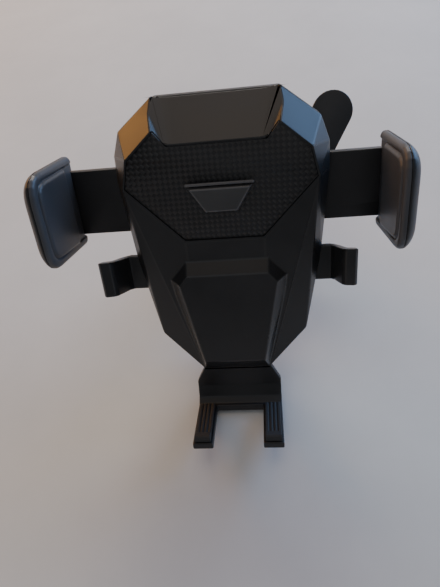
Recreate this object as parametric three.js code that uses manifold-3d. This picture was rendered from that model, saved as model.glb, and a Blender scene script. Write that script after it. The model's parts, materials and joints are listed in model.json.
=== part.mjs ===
// Car phone mount with sprung side arms, a pull-out foot and a ball-jointed air-vent hook clip.
// Millimetres, +Z up. The cradle is drawn upright (x to its right, y towards its back, z up its face)
// and then leaned back, standing on the heel of its foot and on the tail of its vent hook.
import * as THREE from 'three';
import { ConvexGeometry } from 'three/addons/geometries/ConvexGeometry.js';
import { mergeVertices } from 'three/addons/utils/BufferGeometryUtils.js';
import Module from 'manifold-3d';

const wasm = await Module();
wasm.setup();

// ---- driving dimensions --------------------------------------------------------------------
const LEAN = 30; // degrees the face leans back from upright
const GAP = 0.3; // clearance between neighbouring pieces
const WALL = 2.2; // moulded wall of both housing shells

// Outline of the housing, right half, from top centre to bottom: [half width, height].
const OUTLINE = [[19, 107.1], [30.5, 98.2], [33, 91], [33, 83], [30.2, 57], [25, 30], [11.8, 15]];
// How far behind the face each outline corner starts, so the flanks slope back from the face.
const RIM_DEPTH = [9.6, 9.6, 9.6, 8.6, 6.6, 3.8, 2.7];
// Flat face that carries the woven plate, right half, from top to bottom.
const FACE = [[18, 98.8], [27.1, 91.2], [29.2, 82.6], [12.4, 65]];
const SCOOP = [14.6, 94.7]; // lower corner of the hollow in the top bevel
const SCOOP_TURN = 2.4; // how far from their corner the hollow's curved ends begin
const PARTING = 10.2; // depth of the joint between the front and back shells
const BACK_FLAT = 16.5; // depth where the back shell starts to narrow
const BACK = 22; // depth of the flat back

const PLATE_RIM = 0.6; // border of the face left around the plate
const PLATE_FRONT = 0.35;
const PLATE_THICK = 1.1;
const BADGE = [[10, 82.1], [5, 74.1]]; // right half of the trapezoid insert
const BADGE_PROUD = 1.5;

const ARM_FRONT = 11.2; // depth of the front of the sliding arm plates
const ARM_THICK = 3.2;
const ARM_Z = [66, 87]; // bottom and top edges of an arm
const ARM_OUT = 50.4; // outer end of an arm when fully open
const ARM_SHOULDER = 30; // where the full-height arm steps down to its rack

const PINION_Z = 76.5;
const PINION_TEETH = 10;
const MODULE = 1; // gear module: pitch diameter over number of teeth
const PITCH_RADIUS = (PINION_TEETH * MODULE) / 2;
const TOOTH_PITCH = Math.PI * MODULE;

const TAB_Z = [46.4, 58.3]; // release tabs, where they leave the housing
const TAB_RISE = 0.29; // how much the tab climbs for each millimetre it runs forward
const TAB_FRONT = 7;
const TAB_THICK = 2.4;

const FOOT_FRONT = 4.6; // depth of the front of the foot plate inside the housing
const FOOT_THICK = 2.6;
const FOOT_NECK = 9.8; // half width inside the housing
const FOOT_TOP = 48;
const FOOT_HALF = 15.5; // half width over the prongs
const PRONG_INNER = 8.6;
const PRONG_REACH = 19;
const PRONG_THICK = 2.8;

const BALL_RADIUS = 8.5;
const BALL_Z = 62; // height of the ball joint on the back
const BALL_DEPTH = 32; // depth of the ball's centre
const CLIP_DROP = 10; // degrees the clip hangs below the socket's axis
const STEM_RADIUS = 4.4;
const KNOB = { from: 13.6, to: 23.4, radius: 11.6, lobes: 12 };
const LEG = { from: 24, to: 27, pivot: [18.9, -4], foot: 7.8, eye: 6, reach: 45, angle: 29 };
const PIN_RADIUS = 1.7;
const BLOCK = { from: 27.6, to: 41, half: 10, height: 14 };
const HOOK = { width: 7, thick: 2, tail: 56, drop: 10, tip: 50, start: 16 };

// ---- geometry helpers ----------------------------------------------------------------------
const rad = THREE.MathUtils.degToRad;

function solid(geometry) {
  const bare = geometry.clone();
  for (const name of Object.keys(bare.attributes)) {
    if (name !== 'position') bare.deleteAttribute(name);
  }
  const merged = mergeVertices(bare, 1e-4);
  const vertProperties = new Float32Array(merged.attributes.position.array);
  const triVerts = new Uint32Array(merged.index.array);
  const body = new wasm.Manifold(new wasm.Mesh({ numProp: 3, vertProperties, triVerts }));
  if (body.volume() > 0) return body;
  return new wasm.Manifold(new wasm.Mesh({ numProp: 3, vertProperties, triVerts: triVerts.reverse() }));
}

function surface(body) {
  const mesh = body.getMesh();
  const geometry = new THREE.BufferGeometry();
  geometry.setAttribute('position', new THREE.BufferAttribute(new Float32Array(mesh.vertProperties), 3));
  geometry.setIndex(new THREE.BufferAttribute(new Uint32Array(mesh.triVerts), 1));
  const faceted = geometry.toNonIndexed();
  faceted.computeVertexNormals();
  return faceted;
}

// A flat shape from corner points, each corner rounded by an arc-like curve of the given radius.
function outline(points, radius = 0) {
  const shape = new THREE.Shape();
  const corners = points.map(([u, v]) => new THREE.Vector2(u, v));
  if (radius === 0) return shape.setFromPoints(corners);
  corners.forEach((corner, i) => {
    const before = corners[(i + corners.length - 1) % corners.length];
    const after = corners[(i + 1) % corners.length];
    const start = before.clone().sub(corner).setLength(radius).add(corner);
    const end = after.clone().sub(corner).setLength(radius).add(corner);
    if (i === 0) shape.moveTo(start.x, start.y);
    else shape.lineTo(start.x, start.y);
    shape.quadraticCurveTo(corner.x, corner.y, end.x, end.y);
  });
  shape.closePath();
  return shape;
}

function extruded(shape, length, curveSegments) {
  return new THREE.ExtrudeGeometry(shape, { depth: length, bevelEnabled: false, steps: 1, curveSegments });
}

const ALONG_X = new THREE.Matrix4().makeBasis(
  new THREE.Vector3(0, 1, 0), new THREE.Vector3(0, 0, 1), new THREE.Vector3(1, 0, 0));
const ALONG_Y = new THREE.Matrix4().makeBasis(
  new THREE.Vector3(1, 0, 0), new THREE.Vector3(0, 0, 1), new THREE.Vector3(0, -1, 0));

// shape in (x, y), carried from z = from to z = to
function alongZ(shape, from, to, curveSegments = 4) {
  return solid(extruded(shape, to - from, curveSegments).translate(0, 0, from));
}

// shape in (y, z), carried from x = from to x = to
function alongX(shape, from, to, curveSegments = 4) {
  return solid(extruded(shape, to - from, curveSegments).applyMatrix4(ALONG_X).translate(from, 0, 0));
}

// shape in (x, z), carried from y = from to y = to
function alongY(shape, from, to, curveSegments = 4) {
  return solid(extruded(shape, to - from, curveSegments).applyMatrix4(ALONG_Y).translate(0, to, 0));
}

function box(x0, x1, y0, y1, z0, z1) {
  const geometry = new THREE.BoxGeometry(x1 - x0, y1 - y0, z1 - z0);
  return solid(geometry.translate((x0 + x1) / 2, (y0 + y1) / 2, (z0 + z1) / 2));
}

// a round bar whose axis runs along y
function rod(radius, y0, y1, x = 0, z = 0, sides = 24) {
  const geometry = new THREE.CylinderGeometry(radius, radius, y1 - y0, sides);
  return solid(geometry.translate(x, (y0 + y1) / 2, z));
}

// a body turned about the y axis from [radius, y] points
function turned(profile, sides = 32) {
  const points = profile.map(([r, y]) => new THREE.Vector2(r, y));
  return solid(new THREE.LatheGeometry(points, sides));
}

function hull(points) {
  return solid(new ConvexGeometry(points.map(([x, y, z]) => new THREE.Vector3(x, y, z))));
}

function mirrored(points) {
  return points.flatMap(([x, y, z]) => [[x, y, z], [-x, y, z]]);
}

// the closed (x, z) polygon of a right-half outline
function bothSides(half) {
  return [...half, ...half.map(([x, z]) => [-x, z]).reverse()];
}

// a right-half outline moved inwards by a distance, by offsetting each edge and meeting them again
function inset(half, distance) {
  const ring = bothSides(half);
  const count = ring.length;
  const lineAt = (i) => {
    const [ax, az] = ring[i % count];
    const [bx, bz] = ring[(i + 1) % count];
    const length = Math.hypot(bx - ax, bz - az);
    const normal = [(bz - az) / length, (ax - bx) / length];
    return { normal, offset: normal[0] * ax + normal[1] * az + distance };
  };
  return half.map((_, i) => {
    const p = lineAt(i + count - 1);
    const q = lineAt(i);
    const det = p.normal[0] * q.normal[1] - p.normal[1] * q.normal[0];
    const x = (p.offset * q.normal[1] - q.offset * p.normal[1]) / det;
    const z = (p.normal[0] * q.offset - q.normal[0] * p.offset) / det;
    return [x, z];
  });
}

const SIDES = [['left', -1], ['right', 1]];
const toSide = (body, side) => (side > 0 ? body : body.mirror([1, 0, 0]));

function subtractAll(body, cuts) {
  return cuts.reduce((left, cut) => left.subtract(cut), body);
}

function addAll(body, extras) {
  return extras.reduce((sum, extra) => sum.add(extra), body);
}

class Helix extends THREE.Curve {
  // a coil about the y axis, given its radius, start, length and number of turns
  constructor(radius, start, length, turns) {
    super();
    Object.assign(this, { radius, start, length, turns });
  }

  getPoint(t) {
    const angle = t * this.turns * 2 * Math.PI;
    const y = this.start + t * this.length;
    return new THREE.Vector3(this.radius * Math.cos(angle), y, this.radius * Math.sin(angle));
  }
}

function coil(radius, start, length, turns, wire) {
  const section = new THREE.Shape();
  section.absarc(0, 0, wire, 0, 2 * Math.PI);
  const geometry = new THREE.ExtrudeGeometry(section, {
    steps: turns * 12, curveSegments: 3, bevelEnabled: false,
    extrudePath: new Helix(radius, start, length, turns),
  });
  return solid(geometry);
}

// ---- finishes ------------------------------------------------------------------------------
const finish = (color, roughness, metalness = 0) => () =>
  new THREE.MeshStandardMaterial({ color, roughness, metalness });
const satinBlack = finish(0x161719, 0.42);
const textureBlack = finish(0x131416, 0.6);
const wovenBlack = finish(0x1d1d1e, 0.35);
const badgeGrey = finish(0x3c3d3f, 0.35);
const softGrip = finish(0x24282e, 0.55);
const rubber = finish(0x1b1d20, 0.75);
const acetal = finish(0xd9d7cf, 0.45);
const steel = finish(0x9a9c9f, 0.3, 1);

// ---- assembly ------------------------------------------------------------------------------
const group = new THREE.Group();
const cradle = new THREE.Group();
group.add(cradle);
cradle.rotation.x = -rad(LEAN);

function piece(name, body, material, parent = cradle) {
  const mesh = new THREE.Mesh(surface(body), material());
  mesh.name = name;
  parent.add(mesh);
  return mesh;
}


// ---- housing -------------------------------------------------------------------------------
const SCREWS = [[20.5, 92.2], [-20.5, 92.2], [16.5, 34.5], [-16.5, 34.5]];
const BOSS_RADIUS = 2.9;
const SCREW_RADIUS = 1.1;

// a curve that leaves start towards corner and arrives at end from it
function arc(start, corner, end, steps = 5) {
  return Array.from({ length: steps + 1 }, (_, i) => {
    const t = i / steps;
    const weights = [(1 - t) ** 2, 2 * t * (1 - t), t ** 2];
    return start.map((_, axis) =>
      weights[0] * start[axis] + weights[1] * corner[axis] + weights[2] * end[axis]);
  });
}

// the point a distance from the start of a line towards its end, lifted by rise
function stepped(from, to, distance, rise = 0) {
  const share = distance / Math.hypot(to[0] - from[0], to[1] - from[1]);
  return [from[0] + (to[0] - from[0]) * share, from[1] + (to[1] - from[1]) * share + rise];
}

function frontShell() {
  const rim = OUTLINE.map(([x, z], i) => [x, RIM_DEPTH[i], z]);
  const edge = OUTLINE.map(([x, z]) => [x, PARTING, z]);
  const face = FACE.map(([x, z]) => [x, 0, z]);
  const crystal = hull(mirrored([...rim, ...edge, ...face]));
  // lower panel, standing 3 mm proud in the middle of the chin
  const panel = hull(mirrored([
    [13, -2.7, 54.2], [15.7, -2.7, 50.9], [10.4, -2.7, 21.4],
    [13.2, 1.2, 59.2], [20, 2.4, 52.2], [11.6, 2.9, 15.2],
    [11.6, 6, 17], [13, 6, 58],
  ]));
  // hollow of the top bevel: deepest at the face, running out at the top edge
  const [sx, sz] = SCOOP;
  const [fx, fz] = FACE[0];
  const [ax, az] = OUTLINE[0];
  const alongEnd = stepped([sx, sz], [fx, fz], SCOOP_TURN, -1.2);
  const atFace = arc([sx - SCOOP_TURN, sz - 1.2], [sx, sz - 1.2], alongEnd);
  const atBack = arc([sx + 1 - SCOOP_TURN, az + 1], [sx + 1, az + 1], [sx + 1 + SCOOP_TURN, az + 1.6]);
  const scoop = hull(mirrored([
    ...atFace.map(([x, z]) => [x, -1, z]), [2 * fx - sx + 0.5, -1, 2 * fz - sz - 1.2],
    ...atBack.map(([x, z]) => [x, PARTING + 1, z]), [2 * ax - sx - 0.5, PARTING + 1, az + 3],
    [sx, -1, az + 4], [sx + 1, PARTING + 1, az + 4],
  ]));
  const pocket = alongY(plateShape(PLATE_RIM - GAP), -1, PLATE_FRONT + PLATE_THICK + GAP);
  const skin = crystal.add(panel).subtract(scoop).subtract(pocket);

  const inner = inset(OUTLINE, WALL);
  const innerFace = inset(FACE, WALL);
  const cavity = hull(mirrored([
    ...inner.map(([x, z]) => [x, PARTING + 1, z]),
    ...innerFace.map(([x, z]) => [x, 3.6, z]),
    [inner[5][0], 6.4, inner[5][1]],
    [inner[6][0] - 0.6, 4.25, inner[6][1] - 0.2],
  ]));
  const underScoop = hull(mirrored([
    [sx + 6, 0, 91.5], [sx + 6, 0, 130], [sx + 6, PARTING - 2, 102], [sx + 6, PARTING - 2, 130],
  ]));
  const bosses = SCREWS.map(([x, z]) => rod(BOSS_RADIUS, 1.9, PARTING, x, z, 20));
  const pilots = SCREWS.map(([x, z]) => rod(SCREW_RADIUS + 0.25, 4.6, PARTING + 1, x, z, 16));
  const footSlot = box(-FOOT_NECK - GAP, FOOT_NECK + GAP, FOOT_FRONT - GAP, PARTING + 1, 10, 20);
  const tabSlots = SIDES.map(([, side]) => toSide(
    box(23.5, 40, TAB_FRONT - GAP, TAB_FRONT + TAB_THICK + GAP, TAB_Z[0] - GAP, TAB_Z[1] + GAP), side));
  const hollow = cavity.subtract(underScoop);
  const walls = skin.subtract(hollow);
  const posts = addAll(bosses[0], bosses.slice(1)).intersect(crystal).subtract(scoop).subtract(pocket);
  return subtractAll(walls.add(posts), [...pilots, ...tabSlots, footSlot]);
}

// the woven plate's outline: the face, notched at the top by the scoop
function plateShape(border) {
  const half = inset(FACE, border);
  const [sx, sz] = SCOOP;
  const top = [[0, sz - border], [sx - border * 0.4, sz - border]];
  const right = [...top, ...half];
  const left = right.slice(1).map(([x, z]) => [-x, z]).reverse();
  return outline([...right, ...left]);
}

function carbonPlate() {
  const plate = alongY(plateShape(PLATE_RIM), PLATE_FRONT, PLATE_FRONT + PLATE_THICK);
  const window = alongY(outline(bothSides(inset(BADGE, 0.9))), -1, 3);
  return plate.subtract(window);
}

function badge() {
  const proud = mirrored([
    ...BADGE.map(([x, z]) => [x, PLATE_FRONT - GAP, z]),
    ...inset(BADGE, 0.5).map(([x, z]) => [x, -BADGE_PROUD, z]),
  ]);
  const tenon = alongY(outline(bothSides(inset(BADGE, 1.2))), -0.5, PLATE_FRONT + PLATE_THICK - 0.05);
  return hull(proud).add(tenon);
}

const HOLE_CLEARANCE = 0.35;
const SPRING_POST = { x: 14.4, thick: 1.6 };
const SPRING_AXIS = { y: TAB_FRONT + TAB_THICK / 2, z: (TAB_Z[0] + TAB_Z[1]) / 2 };

function backShell() {
  const start = PARTING + GAP;
  const body = hull(mirrored([
    ...OUTLINE.map(([x, z]) => [x, start, z]),
    ...OUTLINE.map(([x, z]) => [x, BACK_FLAT, z]),
    ...inset(OUTLINE, 4).map(([x, z]) => [x, BACK, z]),
  ]));
  const cavity = hull(mirrored([
    ...inset(OUTLINE, WALL).map(([x, z]) => [x, start - 1, z]),
    ...inset(OUTLINE, WALL).map(([x, z]) => [x, BACK_FLAT - 0.6, z]),
    ...inset(OUTLINE, 5).map(([x, z]) => [x, BACK - WALL, z]),
  ]));
  const screwPosts = SCREWS.map(([x, z]) => rod(BOSS_RADIUS, start, BACK - 1, x, z, 20));
  const pinionPost = rod(2, ARM_FRONT, BACK - 1, 0, PINION_Z, 20);
  const pinionShoulder = rod(3, ARM_FRONT + ARM_THICK + 0.1, BACK - 1, 0, PINION_Z, 20);
  const leafPost = rod(2.4, 9.7, BACK - 1, 0, 40, 20);
  const { x, thick } = SPRING_POST;
  const postFoot = SPRING_AXIS.z - 4;
  const springPosts = SIDES.map(([, side]) => toSide(
    box(x - thick, x, TAB_FRONT - 1, BACK - 1, postFoot, SPRING_AXIS.z + 4), side));
  const inside = [...screwPosts, pinionPost, pinionShoulder, leafPost, ...springPosts];
  const shell = addAll(body.subtract(cavity), inside);
  const armSlot = box(-40, 40, 0, ARM_FRONT + ARM_THICK + GAP, ARM_Z[0] - GAP, ARM_Z[1] + GAP);
  const sideOnly = box(-23.5, 23.5, -1, BACK, 20, 100);
  const screwHoles = SCREWS.flatMap(([sx, sz]) => [
    rod(SCREW_RADIUS + HOLE_CLEARANCE, 0, BACK + 1, sx, sz, 16),
    rod(2.6, 17.4, BACK + 1, sx, sz, 20),
  ]);
  const spigotHole = rod(5.3, BACK - WALL - 2, BACK + 1, 0, BALL_Z, 24);
  const postPilot = rod(1.25, 0, 17, 0, PINION_Z, 16);
  return subtractAll(shell, [
    armSlot.subtract(sideOnly), ...screwHoles, spigotHole, postPilot,
    footOpening(start),
  ]);
}

// room for the foot's neck where it leaves the housing
function footOpening(start) {
  return box(-FOOT_NECK - GAP, FOOT_NECK + GAP, start - 1, start - 0.5, 10, 20);
}

// a cross-head screw whose axis runs along y, with its head at the back
function screw(x, z, tip, head) {
  const thick = 1.5;
  const top = turned([
    [0, head - thick], [2.2, head - thick], [2.2, head - 0.5], [1.5, head], [0, head],
  ], 20).translate([x, 0, z]);
  const shank = rod(SCREW_RADIUS, tip, head - thick / 2, x, z, 14);
  const cross = [
    box(-1.2, 1.2, head - 0.8, head + 1, -0.3, 0.3),
    box(-0.3, 0.3, head - 0.8, head + 1, -1.2, 1.2),
  ];
  return subtractAll(top.add(shank), cross.map((bar) => bar.translate([x, 0, z])));
}

piece('front_shell', frontShell(), satinBlack);
piece('back_shell', backShell(), textureBlack);
piece('carbon_plate', carbonPlate(), wovenBlack);
piece('badge', badge(), badgeGrey);
SCREWS.forEach(([x, z], i) => piece(`housing_screw_${i + 1}`, screw(x, z, 5.2, 19.3), steel));

// ---- sliding arms, rack and pinion ---------------------------------------------------------
// rack teeth centred on tooth gaps at x = 0, pointing towards lower z from the pitch line up
function rackTeeth(from, to) {
  const first = Math.ceil(from / TOOTH_PITCH - 0.5);
  const last = Math.floor(to / TOOTH_PITCH - 0.5);
  const teeth = [];
  for (let i = first; i <= last; i += 1) {
    const centre = (i + 0.5) * TOOTH_PITCH;
    teeth.push([centre - 1, 1.1], [centre - 0.35, -0.75], [centre + 0.35, -0.75], [centre + 1, 1.1]);
  }
  return teeth;
}

// The arm is drawn for the side whose rack runs above the pinion, then mirrored or turned for the other.
function armProfile() {
  const rackEnd = 4.6;
  const rackRoot = PINION_Z + PITCH_RADIUS;
  const teeth = rackTeeth(-ARM_SHOULDER + 1.5, rackEnd).map(([x, dz]) => [x, rackRoot + dz]);
  return outline([
    [-ARM_OUT, ARM_Z[0]], [-ARM_SHOULDER, ARM_Z[0]], [-ARM_SHOULDER, rackRoot + 1.1],
    ...teeth, [rackEnd, rackRoot + 1.1], [rackEnd, ARM_Z[1]], [-ARM_OUT, ARM_Z[1]],
  ]);
}

const TONGUE = { inner: 49, outer: 50.4, reach: 2, bottom: 71, top: 86 };

function arm(side) {
  const plate = alongY(armProfile(), ARM_FRONT, ARM_FRONT + ARM_THICK);
  const { inner, outer, reach, bottom, top } = TONGUE;
  const tongue = alongX(outline([
    [ARM_FRONT + ARM_THICK, bottom], [ARM_FRONT + ARM_THICK, top], [reach + 2, top],
    [reach, top - 2], [reach, bottom + 2], [reach + 2, bottom],
  ]), -outer, -inner);
  const left = plate.add(tongue);
  if (side < 0) return left;
  const turnedPlate = plate.translate([0, 0, -PINION_Z]).rotate([0, 180, 0]).translate([0, 0, PINION_Z]);
  return turnedPlate.add(tongue.mirror([1, 0, 0]));
}

// Jaw corners, [depth, height, rounding]: a rounded plate that runs forward from the end of the arm
const JAW = [[12.2, 62.8, 2.5], [12.2, 92.4, 3], [-18.8, 92.2, 7.5], [-18.2, 64.4, 6.5]];
const JAW_MIDDLE = 78;
const JAW_RIM = 49.3; // where the shell ends and the pad begins
const JAW_FACE = 47.3; // gripping face of the pad
const JAW_BACK_SLOPE = [[0, 49.7], [0.5, 50.5], [1.5, 51.5], [3, 52.4]]; // [inset, x] of the outside

// the jaw's rounded outline, drawn in by a distance, at x
function jawOutline(distance, x, back = 12.2 - distance) {
  const corners = JAW.map(([y, z, round]) => [
    y > 0 ? back : y + distance, z < JAW_MIDDLE ? z + distance : z - distance,
    Math.max(0.8, round - distance * 0.7),
  ]);
  return corners.flatMap(([y, z, round], i) => {
    const before = corners[(i + 3) % 4];
    const after = corners[(i + 1) % 4];
    const curve = arc(stepped([y, z], before, round), [y, z], stepped([y, z], after, round));
    return curve.map(([u, v]) => [x, u, v]);
  });
}

function jawShell() {
  const tray = hull([
    ...jawOutline(0, JAW_RIM), ...JAW_BACK_SLOPE.flatMap(([distance, x]) => jawOutline(distance, x)),
  ]);
  const { outer, reach, bottom, top } = TONGUE;
  const slot = box(40, outer + GAP, reach - GAP, 20, bottom - GAP, top + GAP);
  const root = box(40, outer + GAP, ARM_FRONT - GAP, 20, ARM_Z[0] - GAP, ARM_Z[1] + GAP);
  return tray.subtract(slot).subtract(root);
}

// a silicone pad: a rounded bead round the edge, a trough, and a raised gripping panel
function jawPad() {
  const rim = hull([
    ...jawOutline(0, JAW_RIM - GAP), ...jawOutline(0.15, JAW_RIM - 0.9),
    ...jawOutline(0.6, JAW_RIM - 1.4), ...jawOutline(1.2, JAW_RIM - 1.6),
  ]);
  const trough = hull([...jawOutline(1.7, JAW_FACE - 1, 15), ...jawOutline(2.5, JAW_FACE + 1.1, 15)]);
  const panel = hull([
    ...jawOutline(2.6, JAW_FACE + 1.2, 4.6), ...jawOutline(3, JAW_FACE + 0.3, 4.2),
    ...jawOutline(3.5, JAW_FACE, 3.7),
  ]);
  const noRoot = box(40, TONGUE.inner + GAP, ARM_FRONT - GAP, 20, ARM_Z[0] - GAP, ARM_Z[1] + GAP);
  const noTongue = box(TONGUE.inner - GAP, 60, TONGUE.reach - GAP, 20, TONGUE.bottom - GAP, TONGUE.top + GAP);
  return subtractAll(rim.subtract(trough).add(panel), [noRoot, noTongue]);
}

function pinion() {
  const points = [];
  for (let i = 0; i < PINION_TEETH; i += 1) {
    const middle = (i * 2 * Math.PI) / PINION_TEETH + Math.PI / 2;
    for (const [radius, halfAngle] of [[3.85, 0.22], [5, 0.13], [5.75, 0.055]]) {
      points.push([radius, middle - halfAngle]);
    }
    for (const [radius, halfAngle] of [[5.75, 0.055], [5, 0.13], [3.85, 0.22]]) {
      points.push([radius, middle + halfAngle]);
    }
  }
  const wheel = outline(points.map(([r, a]) => [r * Math.cos(a), r * Math.sin(a)]));
  const disc = alongY(wheel, ARM_FRONT + 0.1, ARM_FRONT + ARM_THICK - 0.2);
  return disc.subtract(rod(2.3, 0, 30, 0, 0, 20)).translate([0, 0, PINION_Z]);
}

SIDES.forEach(([name, side]) => {
  piece(`arm_${name}`, arm(side), textureBlack);
  piece(`jaw_shell_${name}`, toSide(jawShell(), side), satinBlack);
  piece(`jaw_pad_${name}`, toSide(jawPad(), side), softGrip);
});
piece('pinion', pinion(), acetal);
const pinionScrew = screw(0, 0, -16, -9.3).rotate([180, 0, 0]).translate([0, 0, PINION_Z]);
piece('pinion_screw', pinionScrew, steel);
piece('arm_spring', coil(4.2, 15.1, 4, 4, 0.42).translate([0, 0, PINION_Z]), steel);

// ---- release tabs --------------------------------------------------------------------------
function releaseTab() {
  const back = TAB_FRONT + TAB_THICK;
  const plan = outline([
    [24, TAB_FRONT], [33.5, TAB_FRONT], [34.2, 4.8], [35.2, -4.4], [36, -6], [38.6, -6.9], [39.6, -6],
    [39.6, -3], [38.6, -1.8], [37.4, -1.2], [36, 6], [35, 8.6], [33.6, back], [24, back],
  ]);
  const geometry = extruded(plan, TAB_Z[1] - TAB_Z[0]).translate(0, 0, TAB_Z[0]);
  const position = geometry.attributes.position;
  for (let i = 0; i < position.count; i += 1) {
    const forward = Math.max(0, TAB_FRONT - position.getY(i));
    position.setZ(i, position.getZ(i) + forward * TAB_RISE);
  }
  return solid(geometry);
}

SIDES.forEach(([name, side]) => {
  const seat = box(24, 25.4, TAB_FRONT, TAB_FRONT + TAB_THICK + 1, TAB_Z[0] + 2, TAB_Z[1] - 2);
  piece(`release_tab_${name}`, toSide(releaseTab().add(seat), side), satinBlack);
  const { x } = SPRING_POST;
  const spring = coil(2, 0, 24 - GAP * 2 - x - 1, 5, 0.3);
  const laid = spring.rotate([0, 0, -90]).translate([x + 0.7, SPRING_AXIS.y, SPRING_AXIS.z]);
  piece(`release_spring_${name}`, toSide(laid, side), steel);
});

// ---- foot ----------------------------------------------------------------------------------
function footBracket() {
  const back = FOOT_FRONT + FOOT_THICK;
  const neck = alongY(outline([
    [-FOOT_NECK, FOOT_TOP], [-FOOT_NECK, 14.5], [-12, 14.4], [-FOOT_HALF, 7.6], [-FOOT_HALF, 0],
    [FOOT_HALF, 0], [FOOT_HALF, 7.6], [12, 14.4], [FOOT_NECK, 14.5], [FOOT_NECK, FOOT_TOP],
  ]), FOOT_FRONT, back);
  // bend and prongs, drawn from the side: top face at z = -0.5
  const top = -0.5;
  const base = top - PRONG_THICK;
  const side = outline([
    [FOOT_FRONT, 6], [3.4, 1.4], [1.6, top], [-PRONG_REACH, top], [-PRONG_REACH, base + 0.6],
    [-PRONG_REACH + 0.8, base], [4.4, base], [back, -0.6], [back, 6],
  ]);
  const shelf = alongX(side, -FOOT_HALF, FOOT_HALF);
  const between = box(-PRONG_INNER, PRONG_INNER, -40, 0.6, -10, 3);
  const notches = [0, 1, 2, 3, 4, 5].map((i) => {
    const z = 17.5 + 3 * i;
    return alongX(outline([[back + 0.2, z - 0.8], [back + 0.2, z + 0.8], [back - 0.5, z]]), -4, 4);
  });
  return subtractAll(neck.add(shelf), [between, ...notches]);
}

function footPad() {
  const seat = -0.5 + GAP * 0.5;
  const inner = PRONG_INNER + 0.7;
  const outer = FOOT_HALF - 0.7;
  const front = -PRONG_REACH + 0.5;
  const profile = outline([
    [0.6, seat], [0.6, seat + 1], [front + 3.4, seat + 1], [front + 2.6, seat + 2.3],
    [front + 0.6, seat + 2.3], [front, seat + 1.7], [front, seat],
  ]);
  const pad = alongX(profile, inner, outer);
  const pitch = (outer - inner) / 4;
  const grooves = [1, 2, 3].map((i) => {
    const x = inner + i * pitch;
    return box(x - 0.25, x + 0.25, front + 3.6, 2, seat + 0.6, seat + 3);
  });
  return subtractAll(pad, grooves);
}

function detentLeaf() {
  return alongX(outline([
    [9.1, 43], [9.1, 36.6], [7.5, 31], [9.1, 25.6], [9.5, 25.8], [8, 31], [9.5, 36.4], [9.5, 43],
  ]), -3, 3);
}

piece('foot_bracket', footBracket(), textureBlack);
SIDES.forEach(([name, side]) => piece(`foot_pad_${name}`, toSide(footPad(), side), rubber));
piece('foot_detent', detentLeaf(), steel);

// ---- ball socket and lock nut --------------------------------------------------------------
const SOCKET = { flange: 13, wall: 11.2, mouth: BALL_DEPTH + 3.4, clear: 0.3 };
const NUT = { outer: 14.2, from: BALL_DEPTH - 4.8, to: BALL_DEPTH + 6.6, mouth: 7.9 };

// (radius, y) points on a sphere about the ball's centre, from one axial offset to another
function sphereArc(radius, fromOffset, toOffset, steps) {
  const a0 = Math.asin(fromOffset / radius);
  const a1 = Math.asin(toOffset / radius);
  return Array.from({ length: steps + 1 }, (_, i) => {
    const angle = a0 + ((a1 - a0) * i) / steps;
    return [radius * Math.cos(angle), BALL_DEPTH + radius * Math.sin(angle)];
  });
}

function ballSocket() {
  const start = BACK + GAP;
  const seatRadius = BALL_RADIUS + SOCKET.clear;
  const seat = sphereArc(seatRadius, -seatRadius, SOCKET.mouth - BALL_DEPTH, 9);
  seat[0][0] = 0;
  const cup = turned([
    [0, start - 3], [5, start - 3], [5, start], [SOCKET.flange, start], [SOCKET.flange, start + 1.6],
    [SOCKET.wall, start + 2], [SOCKET.wall, SOCKET.mouth - 1], [SOCKET.wall - 1, SOCKET.mouth],
    ...[...seat].reverse(),
  ], 32);
  const slot = box(-20, 20, BALL_DEPTH - 3.5, 50, -0.6, 0.6);
  const slots = [0, 60, 120].map((angle) => slot.rotate([0, angle, 0]));
  return subtractAll(cup, slots).translate([0, 0, BALL_Z]);
}

function lockNut() {
  const { outer, from, to, mouth } = NUT;
  const inside = SOCKET.wall + GAP;
  const ring = turned([
    [inside, from], [outer - 0.8, from], [outer, from + 0.8], [outer, to - 2.2], [outer - 2.6, to],
    [mouth, to], [mouth, to - 1.4], [9.4, SOCKET.mouth + 0.5], [inside, SOCKET.mouth - 0.4], [inside, from],
  ], 36);
  const grips = Array.from({ length: 12 }, (_, i) => {
    const angle = (i * 2 * Math.PI) / 12;
    return rod(1.5, from - 1, to - 2.4, (outer + 0.6) * Math.cos(angle), (outer + 0.6) * Math.sin(angle), 10);
  });
  return subtractAll(ring, grips).translate([0, 0, BALL_Z]);
}

piece('ball_socket', ballSocket(), textureBlack);
piece('lock_nut', lockNut(), satinBlack);
const ballArc = sphereArc(BALL_RADIUS, -BALL_RADIUS, BALL_RADIUS, 14);
ballArc[0][0] = 0;
ballArc[ballArc.length - 1][0] = 0;
piece('ball', turned(ballArc, 28).translate([0, 0, BALL_Z]), satinBlack);

// ---- vent clip -----------------------------------------------------------------------------
// The clip's own frame has its origin at the ball's centre, y along the stem and z square to it.
const clip = new THREE.Group();
clip.position.set(0, BALL_DEPTH, BALL_Z);
clip.rotation.x = -rad(CLIP_DROP);
cradle.add(clip);

const BORE = HOOK.thick * 0.75 + GAP;

function ballStem() {
  const cup = BALL_RADIUS + GAP;
  const cupArc = Array.from({ length: 5 }, (_, i) => {
    const r = (STEM_RADIUS * i) / 4;
    return [r, Math.sqrt(cup * cup - r * r)];
  });
  const end = BLOCK.from + 1;
  return turned([...cupArc, [STEM_RADIUS, end], [0, end]], 28).subtract(rod(BORE, 9.8, end + 1, 0, 0, 16));
}

const EAR_BACK = 33; // the ear that carries the leg's pin stands out from the right of the block

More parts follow.
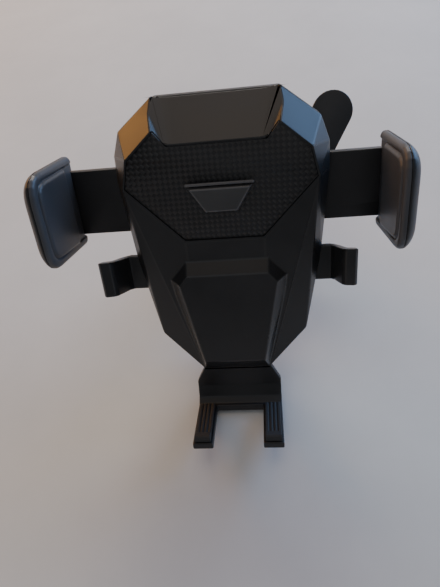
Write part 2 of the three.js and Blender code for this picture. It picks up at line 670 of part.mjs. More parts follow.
function clipBlock() {
  const { from, to, half, height } = BLOCK;
  const h = height / 2;
  const section = outline([[-half, -h], [half, -h], [half, h], [-half, h]], 3);
  const body = alongY(section, from, to);
  const neck = rod(7.4, from - 0.1, from + 2, 0, 0, 28);
  const [px, pz] = LEG.pivot;
  const web = [[half - 4, -h], [px, pz - LEG.eye], [px, pz + LEG.eye], [half - 4, h]];
  const ear = alongY(outline(web), from, EAR_BACK);
  const boss = rod(LEG.eye, from, EAR_BACK, px, pz, 28);
  const bore = rod(BORE, 0, 60, 0, 0, 16);
  const socket = rod(STEM_RADIUS + GAP, 0, from + 1 + GAP, 0, 0, 28);
  const pinHole = rod(PIN_RADIUS + GAP, 0, EAR_BACK - 1, px, pz, 20);
  const padSeats = SIDES.map(([, side]) => toSide(box(3.2, 9.2, to - 1.4, to + 1, -5.4, 5.4), side));
  return subtractAll(addAll(body, [neck, ear, boss]), [bore, socket, pinHole, ...padSeats]);
}

function gripPad() {
  const { to } = BLOCK;
  const face = to + 3;
  const pad = alongY(outline([[3.5, -5.1], [8.9, -5.1], [8.9, 5.1], [3.5, 5.1]], 0.8), to - 1.1, face);
  const grooves = [-3, -1, 1, 3].map((z) =>
    alongX(outline([[face + 0.1, z - 0.6], [face + 0.1, z + 0.6], [face - 0.7, z]]), 2, 11));
  return subtractAll(pad, grooves);
}

function clipKnob() {
  const { from, to, radius, lobes } = KNOB;
  const bar = turned([
    [STEM_RADIUS + GAP, from], [radius - 1.4, from], [radius, from + 1.4], [radius, to - 1.4],
    [radius - 1.4, to], [STEM_RADIUS + GAP, to], [STEM_RADIUS + GAP, from],
  ], 36);
  const flutes = Array.from({ length: lobes }, (_, i) => {
    const angle = (i * 2 * Math.PI) / lobes;
    return rod(1.6, from - 1, to + 1, (radius + 0.7) * Math.cos(angle), (radius + 0.7) * Math.sin(angle), 10);
  });
  return subtractAll(bar, flutes);
}

// steel J: a round shaft through the block that flattens into a strap, turns down and comes back
function hook() {
  const { width, thick, tail, drop, tip, start } = HOOK;
  const t = thick / 2;
  const strap = outline([
    [46.4, t], [tail - 1.4, t], [tail, t - 1.4], [tail, -drop + 1.4], [tail - 1.4, -drop],
    [tip, -drop], [tip, -drop + thick - 0.4], [tail - thick - 0.6, -drop + thick],
    [tail - thick, -drop + thick + 0.6], [tail - thick, -t - 0.5], [tail - thick - 0.5, -t], [46.4, -t],
  ]);
  const flat = alongX(strap, -width / 2, width / 2);
  return flat.add(rod(thick * 0.75, start, 47.4, 0, 0, 14));
}

function hookSleeve() {
  const { width, thick, tail, drop } = HOOK;
  const around = (grow) => [-width / 2 - grow, width / 2 + grow, tail - thick - grow, tail + grow];
  const [x0, x1, y0, y1] = around(1);
  const [u0, u1, v0, v1] = around(0.25);
  const outside = alongZ(outline([[x0, y0], [x1, y0], [x1, y1], [x0, y1]], 0.7), -drop + 3, -1.8);
  return outside.subtract(box(u0, u1, v0, v1, -drop, 0));
}

// support leg: a flat strap with a round foot, hinged on a pin through the ear of the block
function onLegPivot(body) {
  const [px, pz] = LEG.pivot;
  return body.rotate([0, LEG.angle, 0]).translate([px, 0, pz]);
}

function supportLeg() {
  const { from, to, foot, eye, reach } = LEG;
  const strap = alongY(outline(bothSides([[foot, reach], [foot, reach - 14], [eye, 6], [eye, 0]])), from, to);
  const blank = strap.add(rod(eye, from, to, 0, 0, 32)).add(rod(foot, from, to, 0, reach, 32));
  const lighten = alongY(outline(bothSides([[4, reach - 13], [3.2, 11]]), 2), to - 1.4, to + 1);
  const padSeat = rod(foot - 1.6, to - 1.2, to + 1, 0, reach, 32);
  const bore = rod(PIN_RADIUS + GAP, 0, 40, 0, 0, 20);
  const counterbore = rod(3.6, 0, from + 1.4, 0, 0, 20);
  return onLegPivot(subtractAll(blank, [lighten, padSeat, bore, counterbore]));
}

function legPad() {
  const { to, foot, reach } = LEG;
  const pad = turned([
    [0, to - 0.9], [foot - 1.9, to - 0.9], [foot - 1.9, to + 0.9], [foot - 2.7, to + 1.6], [0, to + 1.6],
  ], 28);
  return onLegPivot(pad.translate([0, 0, reach]));
}

function legPin() {
  const { from } = LEG;
  const [px, pz] = LEG.pivot;
  const head = rod(3.3, from + 0.1, from + 1.1, 0, 0, 20);
  return head.add(rod(PIN_RADIUS, from + 1, EAR_BACK - 1 - GAP, 0, 0, 20)).translate([px, 0, pz]);
}

piece('ball_stem', ballStem(), textureBlack, clip);
piece('clip_block', clipBlock(), textureBlack, clip);
SIDES.forEach(([name, side]) => piece(`grip_pad_${name}`, toSide(gripPad(), side), rubber, clip));
piece('clip_knob', clipKnob(), satinBlack, clip);
piece('hook', hook(), steel, clip);
piece('hook_sleeve', hookSleeve(), rubber, clip);
piece('support_leg', supportLeg(), satinBlack, clip);
piece('leg_pad', legPad(), rubber, clip);
piece('leg_pin', legPin(), steel, clip);

// ---- stand it on the floor, centred ----------------------------------------------------------
const extent = new THREE.Box3().setFromObject(group, true);
const middle = extent.getCenter(new THREE.Vector3());
cradle.position.set(-middle.x, -middle.y, -extent.min.z);

export default group;
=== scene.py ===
import json
import math

import bmesh
import bpy
import numpy as np
from mathutils import Matrix, Vector


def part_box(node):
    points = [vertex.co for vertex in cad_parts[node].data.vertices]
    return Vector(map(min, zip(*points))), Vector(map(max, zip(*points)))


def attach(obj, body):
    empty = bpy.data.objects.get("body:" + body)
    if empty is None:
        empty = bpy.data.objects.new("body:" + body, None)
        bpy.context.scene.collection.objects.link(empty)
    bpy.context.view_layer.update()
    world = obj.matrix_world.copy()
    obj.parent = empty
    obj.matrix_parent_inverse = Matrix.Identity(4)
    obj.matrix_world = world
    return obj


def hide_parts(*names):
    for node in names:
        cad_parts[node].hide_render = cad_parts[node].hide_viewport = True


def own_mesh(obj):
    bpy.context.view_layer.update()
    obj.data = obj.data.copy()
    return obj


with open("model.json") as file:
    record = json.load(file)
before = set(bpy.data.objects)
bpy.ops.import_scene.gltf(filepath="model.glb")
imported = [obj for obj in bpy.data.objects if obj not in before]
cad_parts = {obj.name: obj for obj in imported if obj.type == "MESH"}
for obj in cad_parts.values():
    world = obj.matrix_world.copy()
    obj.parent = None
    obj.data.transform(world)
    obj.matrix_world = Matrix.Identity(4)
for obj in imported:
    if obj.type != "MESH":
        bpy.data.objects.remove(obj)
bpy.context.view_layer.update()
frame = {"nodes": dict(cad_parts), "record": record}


# ---- housing, front shell --------------------------------------------------------------------
# The front half of the housing is one injection moulding in satin black ABS. Its flat facets meet
# in softly rounded edges, a little glossier than the faces and painted lighter as a highlight.
LEAN = math.radians(30)
UPRIGHT = Matrix.Rotation(LEAN, 3, "X")  # turns a point so that z runs up the face of the cradle
LEANING = UPRIGHT.transposed()
joints = {joint["name"]: joint for joint in frame["record"]["behaviour"]["joints"]}
BALL_IN_CRADLE = Vector((0, 0.032, 0.062))  # the ball joint's centre, in the upright cradle
CRADLE_ORIGIN = Vector(joints["ball_spin"]["pos_m"]) - LEANING @ BALL_IN_CRADLE


SAME_POINT = 0.000002  # the loose triangles' corners agree to within this
FINE_WELD = 0.00003  # points closer than this are made one
FLAT_TURN = math.radians(0.8)  # faces that turn by less than this lie in one plane


def joined(node, weld=FINE_WELD):
    """The node's own mesh with its loose triangles joined, points closer than weld made one, and
    its flat faces made whole again."""
    shape = bmesh.new()
    shape.from_mesh(frame["nodes"][node].data)
    bmesh.ops.remove_doubles(shape, verts=shape.verts, dist=SAME_POINT)
    bmesh.ops.remove_doubles(shape, verts=shape.verts, dist=weld)
    bmesh.ops.dissolve_degenerate(shape, dist=weld, edges=shape.edges)
    bmesh.ops.dissolve_limit(shape, angle_limit=FLAT_TURN, verts=shape.verts, edges=shape.edges)
    return shape


LONG_EDGE = 0.005
SHARP_TURN = 40  # degrees; a short edge that turns further and isn't rolled is shaded as sharp


def rounded(node, radius, crease=25, facet=2.5, segments=3, weld=FINE_WELD, curved=None):
    """A copy of the node whose corners are rolled over. An edge is rounded if its faces turn by more
    than crease degrees, or by more than facet degrees along a long edge. curved, where it is given,
    tells of an edge's two ends whether it runs along a curved surface; if so, and it turns by less
    than crease degrees, it is left alone and the flat faces beside it keep their shading."""
    shape = joined(node, weld)
    share = shape.edges.layers.float.new("bevel_weight_edge")
    for edge in shape.edges:
        turn = math.degrees(edge.calc_face_angle(0)) if edge.is_manifold else 0
        if curved and turn < crease and curved(edge.verts[0].co, edge.verts[1].co):
            continue
        if turn > crease or (turn > facet and edge.calc_length() > LONG_EDGE):
            edge[share] = 1
        elif turn > SHARP_TURN:
            edge.smooth = False
    mesh = bpy.data.meshes.new(node + "_moulded")
    shape.to_mesh(mesh)
    shape.free()
    mesh.polygons.foreach_set("use_smooth", np.ones(len(mesh.polygons), bool))
    piece = bpy.data.objects.new(node + "_moulded", mesh)
    bpy.context.scene.collection.objects.link(piece)
    roll = piece.modifiers.new("rolled edges", "BEVEL")
    roll.limit_method = "WEIGHT"
    roll.width = radius
    roll.segments = segments
    roll.use_clamp_overlap = False
    roll.harden_normals = True
    roll.material = 1
    if curved:
        level = piece.modifiers.new("flat faces stay flat", "WEIGHTED_NORMAL")
        level.mode = "FACE_AREA"
        level.weight = 100
        level.keep_sharp = True
    return piece


def fitted(piece, node, body, slot, *materials):
    """Gives a piece its materials and its body, and hides the node that it stands for; slot is not
    used. The second material, where there is one, is that of the rolled edges."""
    for finish in materials:
        piece.data.materials.append(finish)
    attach(piece, body)
    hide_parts(node)
    return piece


def material(name):
    """An empty procedural material with its surface and its coordinates on the object itself."""
    made = bpy.data.materials.new(name)
    made.use_nodes = True
    tree = made.node_tree
    surface = tree.nodes["Principled BSDF"]
    place = tree.nodes.new("ShaderNodeTexCoord").outputs["Object"]
    return made, tree, surface, place


def wired(tree, kind, sockets, **settings):
    """One shader node. Each socket takes a plain value or the output of another node."""
    made = tree.nodes.new(kind)
    for key, value in settings.items():
        setattr(made, key, value)
    for key, value in sockets.items():
        if isinstance(value, bpy.types.NodeSocket):
            tree.links.new(value, made.inputs[key])
        else:
            made.inputs[key].default_value = value
    return made


def noise(tree, place, scale, detail=2.0, roughness=0.5):
    """The grey value of a three-dimensional noise with scale cells in a metre."""
    sockets = {"Vector": place, "Scale": scale, "Detail": detail, "Roughness": roughness}
    return wired(tree, "ShaderNodeTexNoise", sockets).outputs["Fac"]


def ranged(tree, value, low, high, start=0.3, end=0.7):
    """value carried from the range start..end to the range low..high."""
    sockets = {"Value": value, "From Min": start, "From Max": end, "To Min": low, "To Max": high}
    return wired(tree, "ShaderNodeMapRange", sockets).outputs["Result"]


def tinted(tree, value, dark, light):
    """A colour between dark and light as value goes from 0.3 to 0.7."""
    share = ranged(tree, value, 0.0, 1.0)
    mix = wired(tree, "ShaderNodeMix", {0: share, 6: (*dark, 1), 7: (*light, 1)}, data_type="RGBA")
    return mix.outputs[2]


def moulded_plastic(name, colour, sheen, grain, depth, handled=0.06):
    """Moulded plastic. grain is the size of its fine texture and depth the height of it, in metres;
    sheen is the middle of its roughness, and handled how far the roughness drifts over the piece.
    The plain colour stays on the socket for readers that don't follow the nodes."""
    made, tree, surface, place = material(name)
    fine = noise(tree, place, 1 / grain, 3.0, 0.6)
    drift = noise(tree, place, 60.0, 4.0, 0.55)
    pale = tuple(c * 1.35 + 0.001 for c in colour)
    surface.inputs["Base Color"].default_value = (*colour, 1)
    tree.links.new(tinted(tree, drift, colour, pale), surface.inputs["Base Color"])
    tree.links.new(ranged(tree, drift, sheen - handled, sheen + handled), surface.inputs["Roughness"])
    surface.inputs["IOR"].default_value = 1.52
    bump = wired(tree, "ShaderNodeBump", {"Height": fine, "Distance": depth, "Strength": 1.0})
    tree.links.new(bump.outputs["Normal"], surface.inputs["Normal"])
    return made


satin_black = moulded_plastic("satin_black_abs", (0.017, 0.0175, 0.019), 0.36, 0.00022, 0.000007)
# the rolled edges of the black pieces: a little glossier, and painted lighter as a highlight along every
# edge
black_painted_highlight = moulded_plastic("black_edge_painted_highlight", (0.026, 0.026, 0.027), 0.30, 0.0004, 0.000004)
SCOOP_END = (0.0118, 0.0205)  # how far off the middle the hollow's curved ends begin and stop
SCOOP_FOOT = 0.0935  # how high in the upright cradle they begin


def in_scoop_end(*ends):
    """True of an edge with both points in the curved ends of the hollow in the top bevel, which lie
    12 to 20 mm off the middle and above the hollow's foot."""
    upright = [UPRIGHT @ (end - CRADLE_ORIGIN) for end in ends]
    return all(SCOOP_END[0] < abs(at.x) < SCOOP_END[1] and at.z > SCOOP_FOOT for at in upright)


front = rounded("front_shell", radius=0.00042, weld=0.00012, curved=in_scoop_end)
fitted(front, "front_shell", "housing", "satin_black", satin_black, black_painted_highlight)


# ---- housing, back shell and screws ----------------------------------------------------------
# The back half is moulded in the same plastic with a coarser spark texture. Four cross-head
# screws go in from behind and hold the two halves together.
spark_black = moulded_plastic("spark_textured_abs", (0.015, 0.0155, 0.0165), 0.5, 0.0005, 0.00003)
# the rolled edges of the spark-textured pieces: a little glossier, and painted lighter as a highlight
spark_painted_highlight = moulded_plastic("spark_textured_painted_highlight", (0.024, 0.024, 0.025), 0.42, 0.0005, 0.00001)
back = rounded("back_shell", 0.0004)
fitted(back, "back_shell", "housing", "texture_black", spark_black, spark_painted_highlight)


def bright_steel(name, colour, sheen):
    """Zinc-plated steel: cloudy in the large, with fine drawing lines."""
    made, tree, surface, place = material(name)
    cloud = noise(tree, place, 350.0, 4.0, 0.6)
    fine = noise(tree, place, 5000.0, 2.0)
    dull = tuple(c * 0.72 for c in colour)
    surface.inputs["Metallic"].default_value = 1.0
    tree.links.new(tinted(tree, cloud, dull, colour), surface.inputs["Base Color"])
    tree.links.new(ranged(tree, cloud, sheen + 0.1, sheen - 0.05), surface.inputs["Roughness"])
    bump = wired(tree, "ShaderNodeBump", {"Height": fine, "Distance": 0.000004, "Strength": 1.0})
    tree.links.new(bump.outputs["Normal"], surface.inputs["Normal"])
    return made


steel = bright_steel("zinc_plated_steel", (0.56, 0.56, 0.57), 0.3)
for number in (1, 2, 3, 4):
    screw = rounded(f"housing_screw_{number}", 0.00012, segments=2)
    fitted(screw, f"housing_screw_{number}", "housing", "steel", steel, steel)


# ---- woven plate -----------------------------------------------------------------------------
# A thin moulded plate with a carbon-fibre pattern is glued into the face. Its tows run both ways
# at 45 degrees, each over one and under one, under a thin clear coat.
TOW = 0.00113  # width of one tow
TOW_STRANDS = 7
STRAND_HEIGHT = 0.06  # as a share of the height of a tow
WEAVE_HEIGHT = 0.00013


def woven_plate():
    """The height of the weave is the rounded section of whichever tow lies on top: where the tow
    numbers across and along add up to an even number, the one that climbs to the left. A tow's
    section is 1 less 4.6 times its offset from the tow's middle to the power of 2.2, which comes
    down to nothing at both edges. The strands add a sine across it."""
    made, tree, surface, place = material("carbon_weave")

    def math_node(operation, first, second=0.0):
        return wired(tree, "ShaderNodeMath", {0: first, 1: second}, operation=operation).outputs["Value"]

    upright = wired(tree, "ShaderNodeMapping", {"Vector": place, "Rotation": (LEAN, 0, 0)})
    bias = wired(tree, "ShaderNodeMapping", {
        "Vector": upright.outputs["Vector"], "Rotation": (0, math.radians(45), 0),
        "Scale": (1 / TOW, 1 / TOW, 1 / TOW)})
    axes = wired(tree, "ShaderNodeSeparateXYZ", {"Vector": bias.outputs["Vector"]}).outputs
    across, along = axes["X"], axes["Z"]
    number = math_node("ADD", math_node("FLOOR", across), math_node("FLOOR", along))
    first_up = math_node("LESS_THAN", math_node("FLOORED_MODULO", number, 2.0), 0.5)

    def crown(coordinate):
        offset = math_node("ABSOLUTE", math_node("SUBTRACT", math_node("FRACT", coordinate), 0.5))
        fall = math_node("MULTIPLY", math_node("POWER", offset, 2.2), 4.6)
        return math_node("SUBTRACT", 1.0, fall)

    def strands(coordinate):
        return math_node("SINE", math_node("MULTIPLY", coordinate, math.tau * TOW_STRANDS))

    top = wired(tree, "ShaderNodeMix", {0: first_up, 2: crown(along), 3: crown(across)})
    thread = wired(tree, "ShaderNodeMix", {0: first_up, 2: strands(along), 3: strands(across)})
    height = math_node("ADD", top.outputs[0], math_node("MULTIPLY", thread.outputs[0], STRAND_HEIGHT))
    bump = wired(tree, "ShaderNodeBump", {"Height": height, "Distance": WEAVE_HEIGHT, "Strength": 1.0})
    tree.links.new(bump.outputs["Normal"], surface.inputs["Normal"])
    # the tows that climb to the left are painted three times lighter than the others, a painted sheen; which
    # tow lies on top is the real weave
    painted_tow_sheen = wired(tree, "ShaderNodeMix", {
        0: first_up, 6: (0.010, 0.010, 0.011, 1), 7: (0.030, 0.029, 0.029, 1)}, data_type="RGBA")
    tree.links.new(painted_tow_sheen.outputs[2], surface.inputs["Base Color"])
    worn = noise(tree, place, 80.0, 3.0)
    sheen = math_node("ADD", ranged(tree, worn, 0.34, 0.46), math_node("MULTIPLY", first_up, -0.08))
    tree.links.new(sheen, surface.inputs["Roughness"])
    surface.inputs["Coat Weight"].default_value = 0.15
    surface.inputs["Coat Roughness"].default_value = 0.25
    return made


carbon_weave = woven_plate()
plate = rounded("carbon_plate", 0.00022, segments=2)
plate_low, plate_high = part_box("carbon_plate")
plate_middle = (plate_low + plate_high) / 2
POCKET_PLAY = 0.0005  # left round the plate in its pocket, side to side, and taken up by the glue
TALLER = 1.004  # the plate is shorter than it is wide, so its height takes a little more
spread = (plate_high.x - plate_low.x + POCKET_PLAY) / (plate_high.x - plate_low.x)
snug = LEANING @ Matrix.Diagonal((spread, 1, spread * TALLER)) @ UPRIGHT
to_middle = Matrix.Translation(plate_middle)
plate.data.transform(to_middle @ snug.to_4x4() @ to_middle.inverted())
fitted(plate, "carbon_plate", "housing", "woven_black", carbon_weave, black_painted_highlight)


# ---- badge -----------------------------------------------------------------------------------
# A plain trapezoid insert in satin grey plastic is pressed into the woven plate and stands a
# little proud of it. A thin moulded lip runs along its top edge.
badge_grey = moulded_plastic("satin_grey_trim", (0.058, 0.059, 0.061), 0.34, 0.0003, 0.000005)
# the badge's rolled edges and its lip: a little glossier, and painted a much lighter grey as a highlight
grey_painted_highlight = moulded_plastic("satin_grey_trim_painted_highlight", (0.10, 0.10, 0.105), 0.28, 0.0003, 0.000003)
badge = rounded("badge", 0.0004, segments=4)
fitted(badge, "badge", "housing", "badge_grey", badge_grey, grey_painted_highlight)


def round_bar(name, start, end, radius, turns=24, rings=9):
    """A bar with round ends: at angle a from its start pole a point stands radius times sin a off
    the line and radius times cos a before the start, and likewise after the end; b goes round."""
    a = np.linspace(0, math.pi / 2, rings)
    reach = np.concatenate([-np.cos(a), np.cos(a[::-1])]) * radius
    width = np.concatenate([np.sin(a), np.sin(a[::-1])]) * radius
    start, end = np.array(start), np.array(end)
    line = (end - start) / np.linalg.norm(end - start)
    base = np.where((np.arange(2 * rings) < rings)[:, None], start, end)
    side = np.cross(line, (0, 0, 1.0))
    side /= np.linalg.norm(side)
    b = np.linspace(0, math.tau, turns, endpoint=False)
    around = np.cos(b)[:, None] * side + np.sin(b)[:, None] * np.cross(side, line)
    points = (base + reach[:, None] * line)[:, None, :] + width[:, None, None] * around
    i, j = np.meshgrid(np.arange(2 * rings - 1), np.arange(turns), indexing="ij")
    k = (j + 1) % turns
    faces = np.stack([i * turns + j, i * turns + k, (i + 1) * turns + k, (i + 1) * turns + j], -1)
    points = points @ np.array(UPRIGHT) + np.array(CRADLE_ORIGIN)
    mesh = bpy.data.meshes.new(name)
    mesh.from_pydata(points.reshape(-1, 3).tolist(), [], faces.reshape(-1, 4).tolist())
    shape = bmesh.new()
    shape.from_mesh(mesh)
    bmesh.ops.remove_doubles(shape, verts=shape.verts, dist=1e-7)
    bmesh.ops.recalc_face_normals(shape, faces=shape.faces)
    shape.to_mesh(mesh)
    shape.free()
    mesh.polygons.foreach_set("use_smooth", np.ones(len(mesh.polygons), bool))
    made = bpy.data.objects.new(name, mesh)
    bpy.context.scene.collection.objects.link(made)
    return made


LIP_HALF, LIP_RADIUS = 0.0099, 0.00045
LIP_DEPTH, LIP_UP = -0.0008, 0.08285  # along the top edge of the badge, in the upright cradle
lip = round_bar("badge_lip", (-LIP_HALF, LIP_DEPTH, LIP_UP), (LIP_HALF, LIP_DEPTH, LIP_UP), LIP_RADIUS)
# the whole lip takes the lighter grey, a painted highlight
lip.data.materials.append(grey_painted_highlight)
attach(lip, "housing")


# ---- sliding arms ----------------------------------------------------------------------------
# Each arm is a flat ABS plate with a rack along its inner end. It slides in the housing and
# carries a jaw, moulded as a tray, with a satin silicone pad bedded in it.
def softened(node, cell, passes, freedom=None, placed=None):
    """A copy of the node laid over with a net of square cells and relaxed: in each pass every point
    goes half way to the mean of its neighbours, times its freedom, so corners round off and flats
    stay flat. placed may move the points beforehand, and freedom gives a share from 0 to 1."""
    shape = joined(node)
    mesh = bpy.data.meshes.new(node + "_moulded")
    shape.to_mesh(mesh)
    shape.free()
    if placed:
        points = np.empty((len(mesh.vertices), 3))
        mesh.vertices.foreach_get("co", points.ravel())
        mesh.vertices.foreach_set("co", placed(points).ravel())
    piece = bpy.data.objects.new(node + "_moulded", mesh)
    bpy.context.scene.collection.objects.link(piece)
    net = piece.modifiers.new("net", "REMESH")
    net.mode = "VOXEL"
    net.voxel_size = cell
    bpy.context.view_layer.update()
    graph = bpy.context.evaluated_depsgraph_get()
    mesh = bpy.data.meshes.new_from_object(piece.evaluated_get(graph))
    piece.modifiers.clear()
    piece.data = mesh
    points = np.empty((len(mesh.vertices), 3))
    mesh.vertices.foreach_get("co", points.ravel())
    ends = np.empty((len(mesh.edges), 2), np.int32)
    mesh.edges.foreach_get("vertices", ends.ravel())
    here, there = np.concatenate([ends, ends[:, ::-1]]).T
    count = np.bincount(here, minlength=len(points))[:, None]
    share = 0.5 if freedom is None else 0.5 * freedom(points)[:, None]
    for _ in range(passes):
        mean = np.stack([np.bincount(here, points[there, axis], len(points)) for axis in range(3)], 1)
        points += share * (mean / count - points)
    mesh.vertices.foreach_set("co", points.ravel())
    mesh.polygons.foreach_set("use_smooth", np.ones(len(mesh.polygons), bool))
    return piece


JAW_RIM = 0.0493  # where the tray ends and the pad begins, off the middle
SEAT_GAP = 0.0003  # between the tray and the back of the pad
ON_SEAT = 0.00005  # how far a point of the pad's back may lie off it
TRAY_EASE, TRAY_LEAST = 0.0015, 0.06
PAD_EASE, PAD_LEAST = 0.0007, 0.03


def tray_freedom(points):
    """Rises from a little at the rim of the tray to all of it 1.5 mm further out."""
    return np.clip((np.abs(points[:, 0]) - JAW_RIM) / TRAY_EASE, TRAY_LEAST, 1)


def bedded(points):
    """The back of the pad, which lies nearest the tray, is carried out to touch it."""
    seat = np.abs(np.abs(points[:, 0]) - (JAW_RIM - SEAT_GAP)) < ON_SEAT
    moved = points.copy()
    moved[seat, 0] += np.sign(points[seat, 0]) * SEAT_GAP
    return moved


def pad_freedom(points):
    """Rises from next to nothing at the seat of the pad to all of it 0.7 mm away."""
    return np.clip((JAW_RIM - np.abs(points[:, 0])) / PAD_EASE, PAD_LEAST, 1)


arm_black = moulded_plastic("matt_arm_black", (0.016, 0.016, 0.0175), 0.44, 0.00045, 0.00002)
silicone = moulded_plastic("satin_silicone", (0.066, 0.069, 0.078), 0.42, 0.00012, 0.000006, 0.08)
for side in ("left", "right"):
    arm = rounded(f"arm_{side}", 0.0003)
    fitted(arm, f"arm_{side}", f"{side}_arm", "texture_black", arm_black, black_painted_highlight)
    tray = softened(f"jaw_shell_{side}", cell=0.00026, passes=40, freedom=tray_freedom)
    fitted(tray, f"jaw_shell_{side}", f"{side}_arm", "satin_black", satin_black)
    pad = softened(f"jaw_pad_{side}", cell=0.00018, passes=9, freedom=pad_freedom, placed=bedded)
    fitted(pad, f"jaw_pad_{side}", f"{side}_arm", "soft_grip", silicone)


# ---- pinion and arm spring -------------------------------------------------------------------
# A natural acetal pinion meshes with both racks, so that the arms move together. It turns on a
# post of the back shell, held by one screw, over the steel spring that opens the arms.
acetal = moulded_plastic("natural_acetal", (0.69, 0.68, 0.63), 0.38, 0.0006, 0.000006)
milky = acetal.node_tree.nodes["Principled BSDF"].inputs
milky["Subsurface Weight"].default_value = 0.15
milky["Subsurface Radius"].default_value = (0.002, 0.0018, 0.0012)
fitted(rounded("pinion", 0.0001, segments=2), "pinion", "pinion", "acetal", acetal, acetal)
fitted(rounded("pinion_screw", 0.00012, segments=2), "pinion_screw", "housing", "steel", steel, steel)
WIRE_CREASE = 80  # only the cut ends of a spring's wire turn by more, in degrees
arm_spring = rounded("arm_spring", 0.00005, crease=WIRE_CREASE, facet=WIRE_CREASE, segments=2)
fitted(arm_spring, "arm_spring", "housing", "steel", steel, steel)


# ---- release tabs ----------------------------------------------------------------------------
# Two curved ABS tabs stand out of the flanks. Squeezed together against their coil springs they
# let the jaws open.
for side in ("left", "right"):
    tab = softened(f"release_tab_{side}", cell=0.0002, passes=12)
    fitted(tab, f"release_tab_{side}", f"{side}_release", "satin_black", satin_black)
    spring = rounded(f"release_spring_{side}", 0.00005, WIRE_CREASE, WIRE_CREASE, segments=2)
    fitted(spring, f"release_spring_{side}", "housing", "steel", steel, steel)
    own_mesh(spring)


# ---- foot ------------------------------------------------------------------------------------
# The foot is a flat plate bent forward into two prongs, which carry ribbed rubber pads. It is
# drawn out of the housing in clicks, past a steel leaf.
rubber = moulded_plastic("ribbed_rubber", (0.024, 0.0245, 0.026), 0.6, 0.0003, 0.000012, 0.05)
# the rolled edges of the rubber pieces: a little glossier, and painted lighter as a highlight
rubber_painted_highlight = moulded_plastic("ribbed_rubber_painted_highlight", (0.034, 0.034, 0.035), 0.52, 0.0003, 0.000006)
bracket = softened("foot_bracket", cell=0.0002, passes=8)
fitted(bracket, "foot_bracket", "foot", "texture_black", arm_black)
for side in ("left", "right"):
    ribbed = softened(f"foot_pad_{side}", cell=0.00012, passes=6)
    fitted(ribbed, f"foot_pad_{side}", "foot", "rubber", rubber)
fitted(rounded("foot_detent", 0.00008, segments=2), "foot_detent", "housing", "steel", steel, steel)


# ---- ball joint ------------------------------------------------------------------------------
# A round socket is fixed to the back of the housing. The lock nut closes its fingers on the ball
# of the clip's stem.
fitted(rounded("ball_socket", 0.0003), "ball_socket", "housing", "texture_black", spark_black, spark_painted_highlight)
fitted(rounded("lock_nut", 0.0004), "lock_nut", "lock_nut", "satin_black", satin_black, black_painted_highlight)
fitted(rounded("ball", 0.0002), "ball", "ball", "satin_black", satin_black, black_painted_highlight)
fitted(rounded("ball_stem", 0.0003), "ball_stem", "clip", "texture_black", spark_black, spark_painted_highlight)


# ---- air-vent clip ---------------------------------------------------------------------------
# A moulded block with two rubber pads is drawn against the vent blade by a steel hook, which a
# lobed knob on the stem pulls in.
fitted(rounded("clip_block", 0.0004), "clip_block", "clip", "texture_black", spark_black, spark_painted_highlight)
for side in ("left", "right"):
    grip = rounded(f"grip_pad_{side}", 0.00015, segments=2)
    fitted(grip, f"grip_pad_{side}", "clip", "rubber", rubber, rubber_painted_highlight)
fitted(rounded("clip_knob", 0.0004), "clip_knob", "knob", "satin_black", satin_black, black_painted_highlight)
HOOK_NARROWER = 0.94  # leaves 0.2 mm of play on each side of the strap, between the pads
hook = rounded("hook", 0.00025)
hook.data.transform(Matrix.Diagonal((HOOK_NARROWER, 1, 1, 1)))
fitted(hook, "hook", "hook", "steel", steel, steel)
fitted(rounded("hook_sleeve", 0.0002), "hook_sleeve", "hook", "rubber", rubber, rubber_painted_highlight)


# ---- support leg -----------------------------------------------------------------------------
# A flat strap swings on a steel pin beside the block. Its round foot, faced with rubber, rests
# on the dashboard below the vent.
leg_black = moulded_plastic("satin_leg_black", (0.03, 0.03, 0.032), 0.42, 0.0003, 0.00001)
fitted(rounded("support_leg", 0.0004), "support_leg", "leg", "satin_black", leg_black, black_painted_highlight)
fitted(rounded("leg_pad", 0.0002), "leg_pad", "leg", "rubber", rubber, rubber_painted_highlight)
fitted(rounded("leg_pin", 0.00015, segments=2), "leg_pin", "clip", "steel", steel, steel)


# ---- floor, light and camera -----------------------------------------------------------------
# The mount stands on a plain pale floor, lit softly: warm from the back left, cool from the back
# right, neutral from behind, above and in front, and faintly from all round.
def floor_sheet(reach):
    """A flat square: corner (i, j) lies at reach times (2i - 1, 2j - 1)."""
    i, j = np.meshgrid([0, 1], [0, 1], indexing="ij")
    corners = np.stack([reach * (2 * i - 1), reach * (2 * j - 1), 0 * i], -1).reshape(-1, 3)
    mesh = bpy.data.meshes.new("floor")
    mesh.from_pydata(corners.tolist(), [], [(0, 2, 3, 1)])
    made = bpy.data.objects.new("floor", mesh)
    bpy.context.scene.collection.objects.link(made)
    return made


def pale_floor():
    """A matt pale floor, a little cloudy."""
    made, tree, surface, place = material("pale_floor")
    cloud = noise(tree, place, 14.0, 5.0, 0.6)
    tree.links.new(tinted(tree, cloud, (0.78, 0.78, 0.77), (0.86, 0.86, 0.85)), surface.inputs["Base Color"])
    surface.inputs["Roughness"].default_value = 0.85
    return made


floor = floor_sheet(4.0)
floor.data.materials.append(pale_floor())


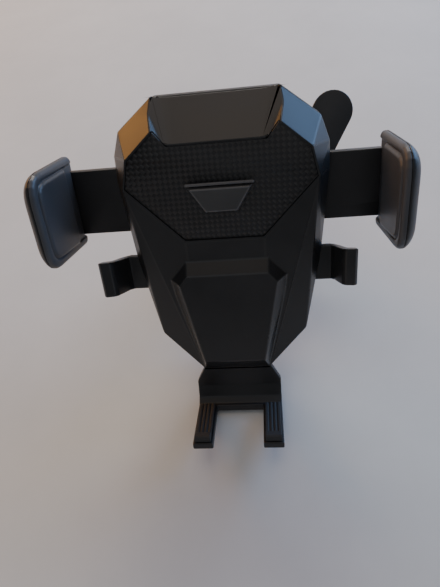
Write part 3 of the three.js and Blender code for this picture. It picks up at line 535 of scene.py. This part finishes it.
def softbox(name, towards, distance, size, power, colour):
    """A rectangular light that faces a point 60 mm above the floor from the given direction."""
    middle = Vector((0, 0, 0.06))
    direction = Vector(towards).normalized()
    lamp = bpy.data.lights.new(name, "AREA")
    lamp.shape = "RECTANGLE"
    lamp.size, lamp.size_y = size
    lamp.energy = power
    lamp.color = colour
    made = bpy.data.objects.new(name, lamp)
    made.location = middle + direction * distance
    made.rotation_mode = "QUATERNION"
    made.rotation_quaternion = (-direction).to_track_quat("-Z", "Y")
    bpy.context.scene.collection.objects.link(made)
    return made


softbox("warm_window", (-0.77, 0.56, 0.33), 0.9, (0.55, 0.40), 2.7, (1.0, 0.46, 0.12))
softbox("cool_sky", (0.71, 0.52, 0.30), 0.9, (0.60, 0.75), 6.0, (0.32, 0.56, 1.0))
softbox("back_light", (0.0, 0.95, 0.62), 1.3, (0.9, 0.35), 8.5, (1.0, 0.92, 0.84))
softbox("overhead", (-0.05, 0.2, 1.0), 1.2, (0.8, 0.6), 1.5, (1.0, 0.80, 0.62))
softbox("front_fill", (-0.3, -0.9, 1.1), 1.6, (1.6, 1.2), 2.0, (0.93, 0.95, 1.0))

world = bpy.data.worlds.new("soft_room")
world.use_nodes = True
room = world.node_tree.nodes["Background"].inputs
room["Color"].default_value = (0.84, 0.87, 0.92, 1)
room["Strength"].default_value = 0.14
bpy.context.scene.world = world

EYE = Vector((13.769, -138.830, 116.283)) / 1000  # in the upright cradle's own frame
TURN, HEIGHT, ROLL = math.radians(6.9546), math.radians(26.5020), math.radians(-5.9255)
SENSOR, LENS = 36.0, 29.232613  # millimetres

away = Vector((math.sin(TURN) * math.cos(HEIGHT), -math.cos(TURN) * math.cos(HEIGHT), math.sin(HEIGHT)))
level = Vector((math.cos(TURN), math.sin(TURN), 0))
upward = away.cross(level)
rightward = level * math.cos(ROLL) + upward * math.sin(ROLL)
skyward = upward * math.cos(ROLL) - level * math.sin(ROLL)
camera = bpy.data.objects.new("camera", bpy.data.cameras.new("camera"))
turn = Matrix([LEANING @ rightward, LEANING @ skyward, LEANING @ away]).transposed()
camera.matrix_world = Matrix.Translation(LEANING @ EYE + CRADLE_ORIGIN) @ turn.to_4x4()
camera.data.sensor_width = SENSOR
camera.data.lens = LENS
camera.data.clip_start = 0.01
bpy.context.scene.collection.objects.link(camera)
bpy.context.scene.camera = camera
